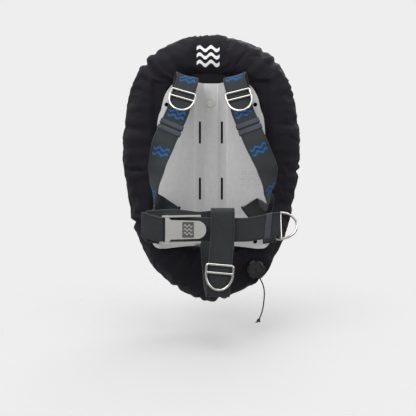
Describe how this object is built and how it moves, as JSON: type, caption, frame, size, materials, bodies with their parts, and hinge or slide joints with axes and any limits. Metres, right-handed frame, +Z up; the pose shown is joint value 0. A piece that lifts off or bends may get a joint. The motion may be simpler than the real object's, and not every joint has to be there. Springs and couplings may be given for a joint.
{
  "type": "buoyancy compensator vest",
  "caption": "Backplate and donut wing buoyancy compensator with a webbing harness, bent D-rings, quick-release waist buckle, crotch strap and a corded dump valve.",
  "frame": {"origin": "on the backplate's front plane, midway between its two centre bolt holes", "axes": "+Z up towards the shoulders, -Y the diver's side, +X to the viewer's right when facing the diver's side"},
  "size_m": [0.4272, 0.2819, 0.6901],
  "materials": {
    "wing_fabric": "black woven nylon, matt",
    "wing_inner": "coated film bladder",
    "webbing": "dark grey woven webbing",
    "keeper_elastic": "blue-grey woven elastic",
    "plate_aluminium": "bead blasted",
    "stainless": "polished stainless steel",
    "spring_steel": "plain",
    "black_plastic": "moulded, satin",
    "seal_rubber": "soft",
    "cord_black": "braided cord"
  },
  "bodies": {
    "root": {"backplate": "plate_aluminium", "wing_shell": "wing_fabric", "wing_bladder": "wing_inner", "wing_center_panel": "wing_fabric", "tank_stabilizer_left": "wing_fabric", "tank_stabilizer_right": "wing_fabric", "book_screw_barrels": "stainless", "book_screws": "stainless", "panel_grommets": "stainless", "dump_valve_body": "black_plastic", "dump_valve_cap": "black_plastic", "dump_valve_gasket": "seal_rubber", "dump_valve_spring": "spring_steel", "inflator_port": "black_plastic", "elbow_nut": "black_plastic", "elbow_o_ring": "seal_rubber", "shoulder_strap_left": "webbing", "shoulder_strap_right": "webbing", "waist_strap_left": "webbing", "waist_strap_right": "webbing", "crotch_strap": "webbing", "buckle_frame": "stainless", "buckle_pin": "stainless"},
    "ring_left": {"shoulder_ring_left": "stainless"},
    "ring_right": {"shoulder_ring_right": "stainless"},
    "ring_hip": {"hip_ring": "stainless"},
    "ring_crotch": {"crotch_ring": "stainless"},
    "keeper_left": {"shoulder_keeper_left_upper": "keeper_elastic", "shoulder_keeper_left_lower": "keeper_elastic"},
    "keeper_right": {"shoulder_keeper_right_upper": "keeper_elastic", "shoulder_keeper_right_lower": "keeper_elastic"},
    "keeper_hip": {"hip_keeper": "keeper_elastic"},
    "lever": {"buckle_lever": "stainless"},
    "poppet": {"dump_valve_poppet": "black_plastic"},
    "cord": {"pull_cord": "cord_black", "pull_cord_knot": "cord_black"},
    "elbow": {"inflator_elbow": "black_plastic"}
  },
  "joints": [
    {"name": "ring_left_slide", "type": "slide", "parent": "root", "child": "ring_left", "axis": [-0.2519, -0.3436, -0.9047], "range_m": [-0.012, 0.012]},
    {"name": "ring_right_slide", "type": "slide", "parent": "root", "child": "ring_right", "axis": [0.2194, -0.3464, -0.9121], "range_m": [-0.012, 0.012]},
    {"name": "ring_hip_slide", "type": "slide", "parent": "root", "child": "ring_hip", "axis": [0, -0.9603, 0.279], "range_m": [-0.012, 0.008]},
    {"name": "ring_crotch_slide", "type": "slide", "parent": "root", "child": "ring_crotch", "axis": [-0.0885, 0, -0.9961], "range_m": [-0.012, 0.012]},
    {"name": "keeper_left_slide", "type": "slide", "parent": "root", "child": "keeper_left", "axis": [-0.3771, -0.2891, -0.8799], "range_m": [-0.008, 0.008]},
    {"name": "keeper_right_slide", "type": "slide", "parent": "root", "child": "keeper_right", "axis": [0.3501, -0.2962, -0.8887], "range_m": [-0.008, 0.008]},
    {"name": "keeper_hip_slide", "type": "slide", "parent": "root", "child": "keeper_hip", "axis": [-0.9791, -0.0119, -0.203], "range_m": [-0.006, 0.006]},
    {"name": "buckle_lever_hinge", "type": "hinge", "parent": "root", "child": "lever", "pos_m": [-0.093, -0.138, -0.1435], "axis": [0, 0, -1], "range_deg": [0, 110]},
    {"name": "dump_valve_pull", "type": "slide", "parent": "root", "child": "poppet", "axis": [0, -1, 0], "range_m": [0, 0.004], "stiffness_N_per_m": 400, "springref_m": -0.004, "deforming": ["dump_valve_spring"]},
    {"name": "pull_cord_slide", "type": "slide", "parent": "root", "child": "cord", "axis": [0.3998, 0, -0.9166], "range_m": [0, 0.004]},
    {"name": "elbow_swivel", "type": "hinge", "parent": "root", "child": "elbow", "pos_m": [0, 0.1205, 0.252], "axis": [0, 1, 0], "range_deg": [-120, 120]}
  ],
  "couplings": [
    {"joint": "dump_valve_pull", "follows": "pull_cord_slide", "ratio": 1}
  ]
}
